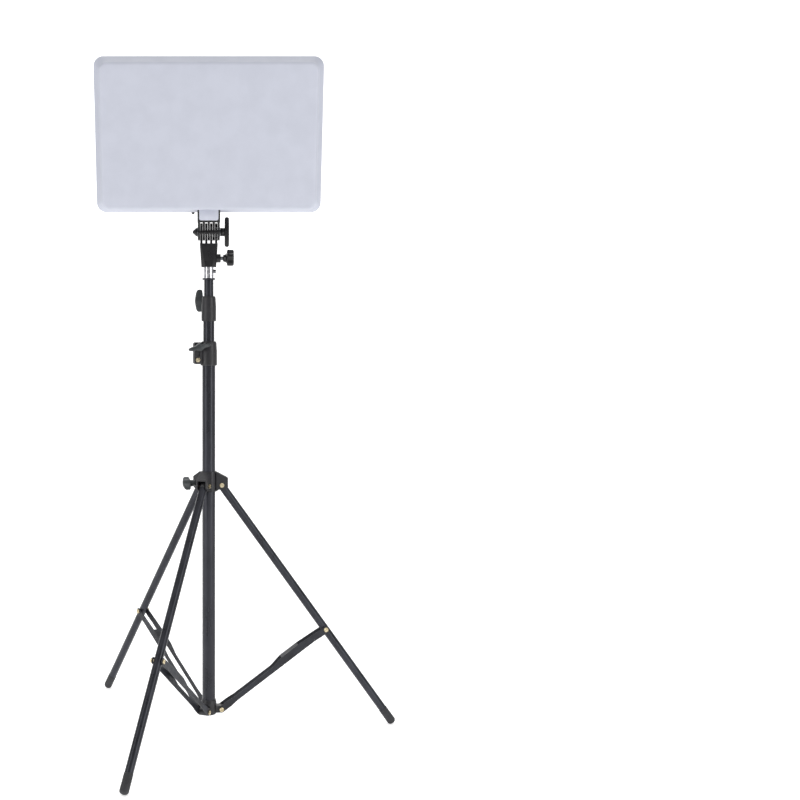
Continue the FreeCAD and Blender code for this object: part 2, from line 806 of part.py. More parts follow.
# black rear housing
back_width = d.panel_width - d.back_inset * 2
back_height = d.panel_height - d.back_inset * 2
back_corner = d.panel_corner - 1.5
back_floor = low_edge + d.back_inset
back_wall_x = back_width / 2
back_solid = slab(back_width, back_height, back_corner, middle, joint, rear)
soft_back = rounded(back_solid, d.back_edge_round, lambda edge: all(
    abs(vertex.Y - mm(rear)) < 0.01 for vertex in edge.Vertexes))
back_hollow = slab(
    back_width - wall * 2, back_height - wall * 2, back_corner - wall, middle, joint - 1, rear - wall)
board_rear = skirt_front + 9.0
board_front = board_rear - d.board_thickness
board_spots = [(across, middle + up) for across in (-120, 0, 120) for up in (-70, 70)]
button_spots = [(rear - 4.5, low_edge + d.button_low + d.button_pitch * place) for place in (0, 1)]
inlet_y = joint + d.back_depth / 2
vents = [
    block(
        (side * 60 - 17, side * 60 + 17), (rear - wall - 1, rear + 1),
        (middle + up - 1.3, middle + up + 1.3))
    for side in (-1, 1)
    for up in range(-36, 37, 9)
]
switch_face = back_wall_x - 10
board_y = rear - wall - 7.5
control_low = low_edge + 17
post_spots = [(switch_face - 28, control_low + up) for up in (6, 36)]
knuckle_spots = [(side * 11, inlet_y) for side in (-1, 1)]
node("back_cover", cut(
    fuse(
        cut(soft_back, back_hollow),
        *[rod(4.0, "Y", (board_rear, rear - wall), spot) for spot in board_spots],
        *[rod(3.4, "Y", (joint, rear - wall), spot) for spot in screw_spots],
        *[rod(2.2, "Y", (board_y + 1.4, rear - wall), spot) for spot in post_spots],
    ),
    *[rod(1.2, "Y", (board_rear - 1, board_rear + 8), spot) for spot in board_spots],
    *[rod(1.6, "Y", (joint - 1, rear + 1), spot) for spot in screw_spots],
    *[rod(3.0, "Y", (rear - 3.2, rear + 1), spot) for spot in screw_spots],
    *[rod(d.button_radius + 0.15, "X", (back_wall_x - 4, back_wall_x + 1), spot) for spot in button_spots],
    rod(d.inlet_nose_radius + 0.1, "Z", (back_floor - 1, back_floor + wall + 1), (-d.inlet_offset, inlet_y)),
    *[rod(1.6, "Z", (back_floor - 1, back_floor + wall + 1), spot) for spot in knuckle_spots],
    *vents,
), LAMP)
node("case_screws", group(*[
    fuse(
        rod(1.3, "Y", (skirt_front + 2.5, rear - 3), spot),
        cut(rod(2.7, "Y", (rear - 3.2, rear - 1.4), spot), nut(1.3, "Y", (rear - 2.4, rear - 1), spot)),
    )
    for spot in screw_spots
]), LAMP)

# LED board with two kinds of LED in alternate columns
board_half_width = shade_width / 2 - wall - 8
board_half_height = shade_height / 2 - wall - 8
node("led_board", cut(
    block((-board_half_width, board_half_width), (board_front, board_rear),
          (middle - board_half_height, middle + board_half_height)),
    *[rod(1.3, "Y", (board_front - 1, board_rear + 1), spot) for spot in board_spots],
), LAMP)
node("board_screws", group(*[
    fuse(
        rod(1.2, "Y", (board_front, board_rear + 7.5), spot),
        rod(2.6, "Y", (board_front - 1.4, board_front), spot),
    )
    for spot in board_spots
]), LAMP)
led_columns = 8
led_rows = 5
for name, shift in (("cool_leds", -0.25), ("warm_leds", 0.25)):
    column_pitch = board_half_width * 2 / led_columns
    row_pitch = board_half_height * 2 / led_rows
    leds = []
    for column in range(led_columns):
        for line in range(led_rows):
            x = column_pitch * (column + 0.5 + shift - led_columns / 2)
            z = middle + row_pitch * (line + 0.5 - led_rows / 2)
            leds.append(block((x - 2.5, x + 2.5), (board_front - 0.9, board_front), (z - 1.4, z + 1.4)))
    node(name, group(*leds), LAMP)

# control board behind the side buttons, and the power inlet under it
node("control_board", block(
    (switch_face - 34, switch_face - 1), (board_y, board_y + 1.4), (control_low, control_low + 42)), LAMP)
node("tact_switches", group(*[
    fuse(
        block((switch_face - 7, switch_face), (board_y + 1.4, rear - wall - 0.6), (z - 3, z + 3)),
        rod(1.0, "X", (switch_face, switch_face + 0.8), (y, z)),
    )
    for y, z in button_spots
]), LAMP)
for name, (y, z) in zip(("power_button", "colour_button"), button_spots):
    shaft = rod(d.button_radius, "X", (switch_face + 0.9 + d.button_travel, back_wall_x + 0.9), (y, z))
    stop = rod(d.button_radius + 0.9, "X", (back_wall_x - wall - 1.2, back_wall_x - wall - 0.1), (y, z))
    node(name, fuse(shaft, stop), LAMP)
inlet_tip = low_edge - 4
nose_centre = (-d.inlet_offset, inlet_y)
node("dc_inlet", cut(
    fuse(
        block((-d.inlet_offset - 4.5, -d.inlet_offset + 4.5), (inlet_y - 3.8, inlet_y + 3.8),
              (back_floor + wall, back_floor + wall + 11)),
        rod(d.inlet_nose_radius, "Z", (inlet_tip + 1.2, back_floor + wall + 1), nose_centre),
        cone(d.inlet_nose_radius - 0.9, d.inlet_nose_radius, "Z", (inlet_tip, inlet_tip + 1.2), nose_centre),
    ),
    rod(d.inlet_bore_radius, "Z", (inlet_tip - 1, inlet_tip + 11), nose_centre),
), LAMP)

# hinge foot under the lamp head, with five fingers, a clamp plate and two screws
foot_half = half_hinge + 0.5
foot_front = tab_rear + 0.2
foot_top = back_floor - 0.2
foot_outline = (
    (foot_front, d.fork_roof),
    (d.knuckle_rear, d.fork_roof),
    (d.knuckle_rear, foot_top),
    (joint + 0.3, foot_top),
    (joint + 0.3, low_edge - 0.4),
    (foot_front, low_edge + 5.4),
)
foot_block = milled("YZ_Plane", foot_outline, -foot_half, foot_half)
upper_fingers = [
    finger(d.finger_pitch * place, d.finger_radius - 0.5, 0, d.fork_roof + 0.5)
    for place in (-2, -1, 0, 1, 2)
]
node("panel_knuckle", cut(
    fuse(foot_block, *upper_fingers),
    rod(hinge_hole, "X", (-half_hinge - 1, half_hinge + 1), (0, 0)),
    *[rod(1.45, "Z", (back_floor - 13, back_floor), spot) for spot in knuckle_spots],
), LAMP)
plate_bottom = back_floor + wall
node("knuckle_plate", cut(
    block((-17, 17), (joint + 1.5, rear - wall - 0.5), (plate_bottom, plate_bottom + 1.2)),
    *[rod(1.6, "Z", (plate_bottom - 1, plate_bottom + 3), spot) for spot in knuckle_spots],
), LAMP)
node("knuckle_screws", group(*[
    fuse(
        rod(1.45, "Z", (back_floor - 12, plate_bottom + 1.2), spot),
        rod(2.9, "Z", (plate_bottom + 1.2, plate_bottom + 3.0), spot),
    )
    for spot in knuckle_spots
]), LAMP)

# ---------------------------------------------------------------- stand
HEAD_SIDES = (-1, 1, 1)
headings = [d.leg_heading.value + 120 * leg for leg in range(3)]

# leg and brace geometry in the upright plane of one leg: x outwards, z up
foot_centre_height = d.foot_radius - d.foot_flat_depth
leg_run = mm(d.foot_circle_radius - d.leg_pivot_radius)
leg_drop = mm(d.leg_pivot_height - foot_centre_height)
leg_length = math.hypot(leg_run, leg_drop)
leg_angle = math.degrees(math.atan2(leg_run, leg_drop))
leg_share = mm(d.brace_joint_share) / leg_length
brace_run = leg_run * leg_share
brace_rise = mm(d.leg_pivot_height - d.brace_pivot_height) - leg_drop * leg_share
brace_length = math.hypot(brace_run, brace_rise)
brace_angle = math.degrees(math.atan2(brace_run, brace_rise))
fold_travel = mm(d.brace_pivot_height) + brace_length + mm(d.brace_joint_share) - mm(d.leg_pivot_height)
print("leg %.2f mm at %.3f deg, brace %.2f mm at %.3f deg, spider travel %.2f mm" % (
    leg_length, leg_angle, brace_length, brace_angle, fold_travel))

# spider: a sleeve on the outer tube with a hood over each leg's pivot
ear_inner = d.leg_radius + d.ear_gap
ear_outer = ear_inner + d.ear_thickness
sleeve_radius = d.outer_tube_radius + d.spider_wall
spider_top = d.leg_pivot_height + d.spider_above_pivot
spider_bottom = d.leg_pivot_height - d.spider_below_pivot
spider_knob_height = d.leg_pivot_height + d.spider_knob_above_pivot
hood_roof = d.leg_pivot_height + d.leg_radius + 2.2
hood_outline = (
    (d.outer_tube_radius + 0.5, spider_bottom),
    (sleeve_radius + 2, spider_bottom + 3),
    (d.hood_reach - 3.5, spider_bottom + 3),
    (d.hood_reach, spider_bottom + 7),
    (d.hood_reach, spider_top - 10),
    (sleeve_radius - 0.5, spider_top - 0.6),
    (d.outer_tube_radius + 0.5, spider_top - 0.6),
)
spider_solids = [turned(
    (d.outer_tube_radius + d.running_gap, spider_bottom),
    (sleeve_radius, spider_bottom),
    (sleeve_radius, spider_top - 0.8),
    (sleeve_radius - 0.8, spider_top),
    (d.outer_tube_radius + d.running_gap, spider_top),
)]
spider_cuts = [rod(d.outer_tube_radius + d.running_gap, "Z", (spider_bottom - 1, spider_top + 1))]
spider_pins = []
for direction, head_side in zip(headings, HEAD_SIDES):
    turn = heading(direction)
    spider_solids.append(moved(milled("XZ_Plane", hood_outline, -ear_outer, ear_outer), turn))
    spider_cuts.append(moved(block(
        (sleeve_radius + 0.2, d.hood_reach + 2), (-ear_inner, ear_inner),
        (spider_bottom - 2, hood_roof)), turn))
    centre = (d.leg_pivot_radius, d.leg_pivot_height)
    spider_cuts.append(moved(rod(d.small_screw_radius, "Y", (-ear_outer - 2, ear_outer + 2), centre), turn))
    screw = slotted_screw(d.small_screw_radius, -ear_outer, ear_outer, centre, head_side)
    span = (-ear_outer - 2.6, -ear_outer) if head_side > 0 else (ear_outer, ear_outer + 2.6)
    spider_pins.append(moved(fuse(screw, nut(3.9, "Y", span, centre)), turn))
knob_turn = heading(d.leg_heading + 180)
boss_reach = sleeve_radius + 4.6
knob_centre = (0, spider_knob_height)
spider_solids.append(moved(rod(6.2, "X", (d.outer_tube_radius + 0.5, boss_reach), knob_centre), knob_turn))
spider_cuts.append(moved(rod(
    d.clamp_bolt_radius + d.running_gap, "X", (0, boss_reach + 1), knob_centre), knob_turn))
node("spider", cut(fuse(*spider_solids), *spider_cuts))
node("spider_screws", group(*spider_pins))
knob_seat = boss_reach + 0.6
wing_place = Placement(
    Vector(mm(knob_seat), 0, mm(spider_knob_height)),
    Rotation(Vector(0, 1, 0), 90) * Rotation(Vector(0, 0, 1), 65))
node("spider_knob", wing_knob(d.spider_knob_neck), knob_turn * wing_place)
node("spider_clamp_screw", rod(
    d.clamp_bolt_radius, "X",
    (d.outer_tube_radius + 0.3, knob_seat + d.spider_knob_neck + 6), knob_centre), knob_turn)

# hub on the foot of the outer tube, with three lugs that the braces fork over
lug_half = d.leg_radius + d.brace_gap - 0.4
brace_inner = d.leg_radius + d.brace_gap
brace_outer = brace_inner + d.brace_sheet
hub_radius = d.outer_tube_radius + d.hub_wall
hub_bottom = d.outer_tube_bottom - d.hub_floor
hub_top = hub_bottom + d.hub_height + 1.0
hub_solids = [turned(
    (0, hub_bottom),
    (hub_radius - 1.5, hub_bottom),
    (hub_radius, hub_bottom + 1.5),
    (hub_radius, hub_top - 5),
    (d.outer_tube_radius + 0.8, hub_top),
    (d.outer_tube_radius, hub_top),
    (d.outer_tube_radius, d.outer_tube_bottom),
    (0, d.outer_tube_bottom),
)]
hub_cuts = [rod(d.outer_tube_radius, "Z", (d.outer_tube_bottom, hub_top + 1))]
hub_pins = []
for direction, head_side in zip(headings, HEAD_SIDES):
    turn = heading(direction)
    centre = (d.leg_pivot_radius, d.brace_pivot_height)
    arm = fuse(
        block((d.outer_tube_radius + 0.2, d.leg_pivot_radius), (-lug_half, lug_half),
              (d.brace_pivot_height - 5.6, d.brace_pivot_height + 5.6)),
        rod(5.6, "Y", (-lug_half, lug_half), centre),
    )
    hub_solids.append(moved(arm, turn))
    hub_cuts.append(moved(rod(d.small_screw_radius, "Y", (-lug_half - 1, lug_half + 1), centre), turn))
    reach = brace_outer + 0.3
    screw = slotted_screw(d.small_screw_radius, -reach, reach, centre, head_side)
    span = (-reach - 2.6, -reach) if head_side > 0 else (reach, reach + 2.6)
    hub_pins.append(moved(fuse(screw, nut(3.9, "Y", span, centre)), turn))
node("base_hub", cut(fuse(*hub_solids), *hub_cuts))
node("hub_screws", group(*hub_pins))

# legs, braces and their feet
pin_hole = d.small_screw_radius + d.pin_gap
leg_inner = d.leg_radius - d.leg_wall
tube_start = 5.0
tube_end = leg_length - 12
socket_start = leg_length - d.foot_length
head_radius = d.leg_radius - 0.1
LEG_PLANE = Placement(
    Vector(mm(d.leg_pivot_radius), 0, mm(d.leg_pivot_height)), Rotation(Vector(0, 1, 0), 90 - leg_angle))
BRACE_PLANE = Placement(
    Vector(mm(d.leg_pivot_radius), 0, mm(d.brace_pivot_height)), Rotation(Vector(0, 1, 0), brace_angle - 90))
end = d.brace_end_radius
web_start, web_end = brace_length * 0.6, brace_length * 0.76
web_inner = d.leg_radius + 0.6
web_outer = web_inner + d.brace_sheet
rail = d.brace_rail_half
wall_outline = (
    (0, -end), (16, -end), (30, -rail), (brace_length - 26, -rail), (brace_length - 12, -end),
    (brace_length, -end), (brace_length, end), (brace_length - 8, end), (web_end, web_outer),
    (web_start, web_outer), (web_start - 22, rail), (30, rail), (16, end), (0, end),
)
for number, (direction, head_side) in enumerate(zip(headings, HEAD_SIDES), start=1):
    turn = heading(direction)
    leg = "leg_%d" % number
    node(leg + "_tube", cut(
        rod(d.leg_radius, "X", (tube_start, tube_end)),
        rod(leg_inner, "X", (tube_start - 1, tube_end + 1)),
        rod(pin_hole, "Y", (-8, 8), (d.brace_joint_share, 0)),
    ), turn * LEG_PLANE)
    node(leg + "_pivot_plug", cut(
        fuse(
            common(
                rod(head_radius, "X", (-head_radius, tube_start)),
                rod(head_radius, "Y", (-head_radius, head_radius)),
            ),
            rod(leg_inner, "X", (tube_start - 2, tube_start + 18)),
        ),
        rod(pin_hole, "Y", (-8, 8)),
    ), turn * LEG_PLANE)
    boot = cut(
        fuse(rod(d.foot_radius, "X", (socket_start, leg_length)), ball(d.foot_radius, leg_length)),
        rod(d.leg_radius, "X", (socket_start - 1, tube_end)),
    )
    floor = block((0, 400), (-50, 50), (-30, 0))
    node(leg + "_foot", cut(moved(boot, LEG_PLANE), floor), turn)

    brace = "brace_%d" % number
    plates = [milled("XZ_Plane", wall_outline, *span) for span in (
        (-brace_outer, -brace_inner), (brace_inner, brace_outer))]
    ends = [
        rod(end, "Y", span, (place, 0))
        for span in ((-brace_outer, -brace_inner), (brace_inner, brace_outer))
        for place in (0, brace_length)
    ]
    web = block((web_start, web_end), (-brace_outer, brace_outer), (web_inner, web_outer))
    node(brace + "_channel", cut(
        fuse(*plates, *ends, web),
        rod(pin_hole, "Y", (-12, 12), (0, 0)),
        rod(d.small_screw_radius, "Y", (-12, 12), (brace_length, 0)),
    ), turn * BRACE_PLANE)
    centre = (brace_length, 0)
    near = slotted_screw(
        d.small_screw_radius, head_side * (brace_inner + 0.1), head_side * brace_outer, centre, head_side)
    far_span = (-brace_outer - 2.8, -brace_outer) if head_side > 0 else (brace_outer, brace_outer + 2.8)
    stud_reach = (brace_inner + 0.1, brace_outer + 3.4)
    stud_span = (-stud_reach[1], -stud_reach[0]) if head_side > 0 else stud_reach
    far = fuse(nut(4.1, "Y", far_span, centre), rod(d.small_screw_radius, "Y", stud_span, centre))
    node(brace + "_screws", group(near, far), turn * BRACE_PLANE)

# ---------------------------------------------------------------- checks and files
doc.recompute()
for thing in doc.Objects:
    if {"Invalid", "Error"} & set(thing.State):
        raise RuntimeError("%s (%s) is %s" % (thing.Name, thing.Label, thing.State))
os.makedirs("parts", exist_ok=True)
for piece in nodes:
    shape = piece.Shape
    if shape.isNull() or not shape.isValid() or not shape.Solids:
        raise RuntimeError("%s has no valid solid" % piece.Label)
    if not re.fullmatch(r"[a-z0-9_]{1,59}", piece.Label):
        raise RuntimeError("%s is not a plain name" % piece.Label)
    shape.exportStep("parts/%s.step" % piece.Label)
print("%d pieces written" % len(nodes))
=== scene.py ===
import json
import math

import bmesh
import bpy
import numpy as np
from mathutils import Matrix, Vector


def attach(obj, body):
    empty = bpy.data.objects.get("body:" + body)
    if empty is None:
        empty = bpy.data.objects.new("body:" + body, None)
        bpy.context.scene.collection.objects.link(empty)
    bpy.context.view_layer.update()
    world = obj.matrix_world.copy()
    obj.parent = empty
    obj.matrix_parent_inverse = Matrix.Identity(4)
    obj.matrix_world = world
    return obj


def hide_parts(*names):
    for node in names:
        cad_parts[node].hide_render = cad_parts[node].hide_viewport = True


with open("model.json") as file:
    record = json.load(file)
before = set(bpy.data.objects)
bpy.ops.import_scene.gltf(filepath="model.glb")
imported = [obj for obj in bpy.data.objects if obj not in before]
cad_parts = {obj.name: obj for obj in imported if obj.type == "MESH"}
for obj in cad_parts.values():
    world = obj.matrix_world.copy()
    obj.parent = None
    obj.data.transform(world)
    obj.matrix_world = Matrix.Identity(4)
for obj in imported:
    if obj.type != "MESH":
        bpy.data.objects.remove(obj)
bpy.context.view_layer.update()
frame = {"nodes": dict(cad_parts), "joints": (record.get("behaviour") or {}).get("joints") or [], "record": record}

NODES = frame["nodes"]
JOINTS = {joint["name"]: joint for joint in frame["joints"]}
MM = 0.001

# ---------------------------------------------------------------- studio
# A white floor that sweeps up behind the light into a white wall, lit by two long soft boxes
# at the sides, which give every tube its pair of soft upright highlights.


def srgb(red, green, blue):
    """Turns display values from 0 to 255 into the linear colour that nodes take."""
    linear = [c / 255 / 12.92 if c <= 10 else ((c / 255 + 0.055) / 1.055) ** 2.4 for c in (red, green, blue)]
    return (*linear, 1.0)


def mesh_object(name, vertices, faces, smooth=True):
    """Makes a mesh object from arrays of points and of faces."""
    mesh = bpy.data.meshes.new(name)
    mesh.from_pydata([tuple(v) for v in np.asarray(vertices, float)], [], [tuple(map(int, f)) for f in faces])
    mesh.polygons.foreach_set("use_smooth", [smooth] * len(mesh.polygons))
    mesh.update()
    item = bpy.data.objects.new(name, mesh)
    bpy.context.scene.collection.objects.link(item)
    return item


def grid_faces(rows, columns, around=False):
    """Quads over a rows x columns grid of points. With around, the last column joins the first."""
    i, j = np.meshgrid(np.arange(rows - 1), np.arange(columns if around else columns - 1), indexing="ij")
    k = (j + 1) % columns
    quads = np.stack([i * columns + j, i * columns + k, (i + 1) * columns + k, (i + 1) * columns + j], -1)
    return quads.reshape(-1, 4)


# In side view the paper is flat to 2.4 m, bends up with a radius of 1.6 m and ends upright.
curve = np.linspace(0.05, 1.57, 24)
sweep = np.concatenate([
    np.stack([np.linspace(-6, 2.4, 30), np.zeros(30)], 1),
    np.stack([2.4 + 1.6 * np.sin(curve), 1.6 - 1.6 * np.cos(curve)], 1),
    np.stack([np.full(8, 4.0), np.linspace(1.8, 5, 8)], 1),
])
across = np.linspace(-7, 7, 15)
floor_points = np.stack([
    np.tile(across, len(sweep)), np.repeat(sweep[:, 0], 15), np.repeat(sweep[:, 1], 15)], 1)
floor = mesh_object("floor_sweep", floor_points, grid_faces(len(sweep), 15))
paper = bpy.data.materials.new("paper_sweep")
paper.use_nodes = True
paper.node_tree.nodes["Principled BSDF"].inputs["Base Color"].default_value = srgb(252, 252, 252)
paper.node_tree.nodes["Principled BSDF"].inputs["Roughness"].default_value = 0.9
paper.node_tree.nodes["Principled BSDF"].inputs["Emission Color"].default_value = (1, 1, 1, 1)
paper.node_tree.nodes["Principled BSDF"].inputs["Emission Strength"].default_value = 0.5
floor.data.materials.append(paper)


def soft_box(name, place, target, width, height, watts):
    """A rectangular area light aimed at a point."""
    lamp = bpy.data.lights.new(name, "AREA")
    lamp.shape = "RECTANGLE"
    lamp.size, lamp.size_y, lamp.energy = width, height, watts
    item = bpy.data.objects.new(name, lamp)
    item.location = place
    item.rotation_euler = (Vector(target) - Vector(place)).to_track_quat("-Z", "Y").to_euler()
    bpy.context.scene.collection.objects.link(item)
    return item


soft_box("left_box", (-1.9, -1.3, 1.1), (0, 0, 0.55), 0.7, 2.2, 16)
soft_box("right_box", (1.8, -1.5, 1.1), (0, 0, 0.55), 0.7, 2.2, 19)
soft_box("top_box", (0.0, -0.6, 3.2), (0, 0, 0.4), 2.6, 2.6, 12)
soft_box("wall_box", (0.0, 0.9, 3.4), (0, 3.0, 0.6), 3.6, 1.6, 40)
world = bpy.data.worlds.new("studio")
world.use_nodes = True
world.node_tree.nodes["Background"].inputs["Color"].default_value = (1, 1, 1, 1)
world.node_tree.nodes["Background"].inputs["Strength"].default_value = 0.32
bpy.context.scene.world = world
bpy.context.scene.view_settings.view_transform = "Standard"

camera = bpy.data.cameras.new("camera")
camera.sensor_width = 36
camera.lens = 56.27
camera.shift_x = 0.239
camera_object = bpy.data.objects.new("camera", camera)
camera_object.location = (0, -2.0008, 0.6578)
camera_object.rotation_euler = (math.radians(90 - 3.38), 0, 0)
bpy.context.scene.collection.objects.link(camera_object)
bpy.context.scene.camera = camera_object


# ---------------------------------------------------------------- finishes
# Painted and anodised aluminium tube, moulded plastic, rubber, plated steel and brass.
# Each has its own fine grain and slow colour drift, measured in metres on the piece.


class Nodes:
    """A short way to add and join shader nodes."""

    def __init__(self, name):
        self.material = bpy.data.materials.new(name)
        self.material.use_nodes = True
        self.tree = self.material.node_tree
        self.shader = self.tree.nodes["Principled BSDF"]
        self.place = self.add("ShaderNodeTexCoord").outputs["Object"]

    def add(self, kind, **inputs):
        item = self.tree.nodes.new(kind)
        for name, value in inputs.items():
            self.feed(item.inputs[name.replace("_", " ")], value)
        return item

    def feed(self, socket, value):
        if isinstance(value, bpy.types.NodeSocket):
            self.tree.links.new(value, socket)
        else:
            socket.default_value = value

    def noise(self, scale, detail=3.0, vector=None, stretch=None):
        """Noise from 0 to 1, scale in repeats a metre, stretched along an axis where asked."""
        source = vector or self.place
        if stretch:
            source = self.add("ShaderNodeMapping", Vector=source, Scale=stretch).outputs["Vector"]
        return self.add("ShaderNodeTexNoise", Vector=source, Scale=scale, Detail=detail).outputs["Fac"]

    def spread(self, value, low, high, start=0.35, end=0.65):
        """Maps value from (start, end) to (low, high)."""
        item = self.add("ShaderNodeMapRange", Value=value)
        for name, number in (("From Min", start), ("From Max", end), ("To Min", low), ("To Max", high)):
            item.inputs[name].default_value = number
        return item.outputs["Result"]

    def blend(self, factor, first, second):
        item = self.tree.nodes.new("ShaderNodeMix")
        item.data_type = "RGBA"
        self.feed(item.inputs[0], factor)
        self.feed(item.inputs[6], first)
        self.feed(item.inputs[7], second)
        return item.outputs[2]

    def bump(self, height, strength, distance, normal=None):
        item = self.add("ShaderNodeBump", Height=height, Strength=strength, Distance=distance)
        if normal is not None:
            self.feed(item.inputs["Normal"], normal)
        return item.outputs["Normal"]

    def finish(self, **values):
        for name, value in values.items():
            self.feed(self.shader.inputs[name.replace("_", " ")], value)
        return self.material


def moulded(name, dark, light, roughness, grain, grain_height, sheen=0.5):
    """Moulded plastic: a fine spark-eroded grain, slow colour drift and a slightly uneven gloss."""
    n = Nodes(name)
    drift = n.noise(38, 4)
    speck = n.noise(grain * 1.9, 2)
    colour = n.blend(n.spread(drift, 0, 1), dark, light)
    colour = n.blend(n.spread(speck, 0, 0.35, 0.5, 0.75), colour, light)
    texture = n.bump(n.noise(grain, 2), 0.5, grain_height)
    return n.finish(
        Base_Color=colour, Roughness=n.spread(n.noise(90, 3), roughness - 0.05, roughness + 0.07),
        Normal=texture, Specular_IOR_Level=sheen)


def drawn_tube(name, dark, light, roughness):
    """Black anodised drawn tube: faint draw lines along its length, dust and light handling marks."""
    n = Nodes(name)
    lines = n.noise(900, 2, stretch=(1.0, 1.0, 0.02))
    rubs = n.noise(60, 5, stretch=(1.0, 1.0, 0.25))
    colour = n.blend(n.spread(rubs, 0, 1), dark, light)
    texture = n.bump(lines, 0.15, 0.00006)
    return n.finish(
        Base_Color=colour, Metallic=0.55, Roughness=n.spread(rubs, roughness - 0.04, roughness + 0.08),
        Normal=texture)


def plated(name, colour, shade, roughness, turning=0.2):
    """Turned and plated metal: fine turning marks and a trace of tarnish."""
    n = Nodes(name)
    tarnish = n.noise(260, 4)
    marks = n.noise(2600, 2, stretch=(0.1, 0.1, 1.0))
    return n.finish(
        Base_Color=n.blend(n.spread(tarnish, 0, 1), shade, colour), Metallic=1.0,
        Roughness=n.spread(tarnish, roughness - 0.05, roughness + 0.1),
        Normal=n.bump(marks, turning, 0.00004))


FINISH = {
    "tube_charcoal": drawn_tube("tube_charcoal", srgb(40, 41, 47), srgb(54, 55, 62), 0.29),
    "collar_black": moulded("collar_black", srgb(24, 24, 27), srgb(36, 35, 39), 0.42, 2400, 0.00012),
    "knob_black": moulded("knob_black", srgb(36, 40, 42), srgb(56, 61, 64), 0.4, 1900, 0.00018),
    "screw_brass": plated("screw_brass", srgb(230, 218, 186), srgb(180, 164, 128), 0.26),
    "spigot_chrome": plated("spigot_chrome", srgb(232, 232, 236), srgb(206, 206, 212), 0.2, 0.03),
    "steel_dark": plated("steel_dark", srgb(132, 134, 138), srgb(92, 94, 98), 0.34),
    "diffuser_white": moulded(
        "diffuser_white", srgb(189, 192, 204), srgb(193, 196, 208), 0.42, 3000, 0.00002),
    "case_black": moulded("case_black", srgb(36, 38, 44), srgb(46, 48, 56), 0.46, 2600, 0.00010),
    "board_white": moulded("board_white", srgb(228, 228, 224), srgb(238, 238, 236), 0.4, 3000, 0.00002),
    "led_cool": moulded("led_cool", srgb(236, 226, 140), srgb(244, 236, 160), 0.25, 3000, 0.00002),
    "led_warm": moulded("led_warm", srgb(238, 176, 84), srgb(246, 190, 100), 0.25, 3000, 0.00002),
    "board_green": moulded("board_green", srgb(24, 84, 48), srgb(36, 104, 62), 0.35, 2000, 0.00004),
    "button_black": moulded("button_black", srgb(30, 31, 33), srgb(44, 45, 48), 0.5, 2200, 0.00010),
    "foot_rubber": moulded("foot_rubber", srgb(30, 30, 33), srgb(48, 48, 52), 0.62, 1500, 0.00020),
    "brace_black": moulded("brace_black", srgb(34, 35, 40), srgb(48, 50, 57), 0.5, 1600, 0.00010, 0.35),
    "insert_brass": plated("insert_brass", srgb(206, 172, 96), srgb(150, 116, 56), 0.3),
}

# The tilting head is moulded in a deeper, glossier black than the collars and their knobs.
HEAD_BLACK = moulded("head_black", srgb(8, 8, 10), srgb(17, 17, 20), 0.3, 2200, 0.00006)
HEAD_PIECES = ("adapter_body", "panel_knuckle", "tilt_nut")

for part in frame["record"]["subparts"]:
    mesh = NODES[part["node"]].data
    mesh.materials.clear()
    mesh.materials.append(HEAD_BLACK if part["node"] in HEAD_PIECES else FINISH[part["material_slot"]])

# ---------------------------------------------------------------- lamp head: diffuser shade
# One blow-moulded white shell: a flat front with a soft edge, straight sides, a shallow cove and
# a skirt that flares out to meet the black rear case. A flat tab hangs from it over the hinge.


def placed(points, place):
    """Moves points, in millimetres, by a matrix and returns them in metres."""
    turn = np.array(place.to_3x3())
    return (np.asarray(points, float) @ turn.T + np.array(place.translation)) * MM


def ring(half_width, half_height, radius, corner_points=12, side_points=7):
    """Points of a round-cornered rectangle, anticlockwise: four arcs joined by even straight runs."""
    runs = []
    for quarter, (sx, sy) in enumerate(((1, 1), (-1, 1), (-1, -1), (1, -1))):
        angle = np.linspace(0, math.pi / 2, corner_points) + quarter * math.pi / 2
        centre = (sx * (half_width - radius), sy * (half_height - radius))
        runs.append(np.stack([centre[0] + radius * np.cos(angle), centre[1] + radius * np.sin(angle)], 1))
    rows = []
    for now, following in zip(runs, runs[1:] + runs[:1]):
        share = np.linspace(0, 1, side_points + 2)[1:-1, None]
        rows += [now, now[-1] * (1 - share) + following[0] * share]
    return np.concatenate(rows)


def shell(name, rings, place, finish, body, nodes, close_first=True, close_last=True):
    """Joins rings of equal length into one closed surface, capped at its ends, and puts it on its body."""
    count = len(rings[0])
    faces = [tuple(face) for face in grid_faces(len(rings), count, around=True)]
    if close_first:
        faces.append(tuple(range(count))[::-1])
    if close_last:
        start = (len(rings) - 1) * count
        faces.append(tuple(range(start, start + count)))
    item = mesh_object(name, placed(np.concatenate(rings), place), faces)
    settle(item, finish, body, nodes)
    return item


def settle(item, finish, body, nodes):
    """Turns the faces outwards, gives the finish, ties the piece to its body and hides the CAD nodes it replaces.
    """
    editor = bmesh.new()
    editor.from_mesh(item.data)
    bmesh.ops.recalc_face_normals(editor, faces=editor.faces)
    editor.to_mesh(item.data)
    editor.free()
    item.data.materials.append(finish)
    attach(item, body)
    if nodes:
        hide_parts(*nodes)


LAMP_TILT = math.radians(13)
LAMP = Matrix.Translation((0, 0, JOINTS["tilt"]["pos_m"][2] / MM)) @ Matrix.Rotation(LAMP_TILT, 4, "X")
LAMP_MIDDLE = 151.0
SKIRT_HALF = 176.5


def lamp_ring(half_width, half_height, radius, depth):
    flat = ring(half_width, half_height, max(radius, 0.6))
    return np.stack([flat[:, 0], np.full(len(flat), depth), LAMP_MIDDLE + flat[:, 1]], 1)


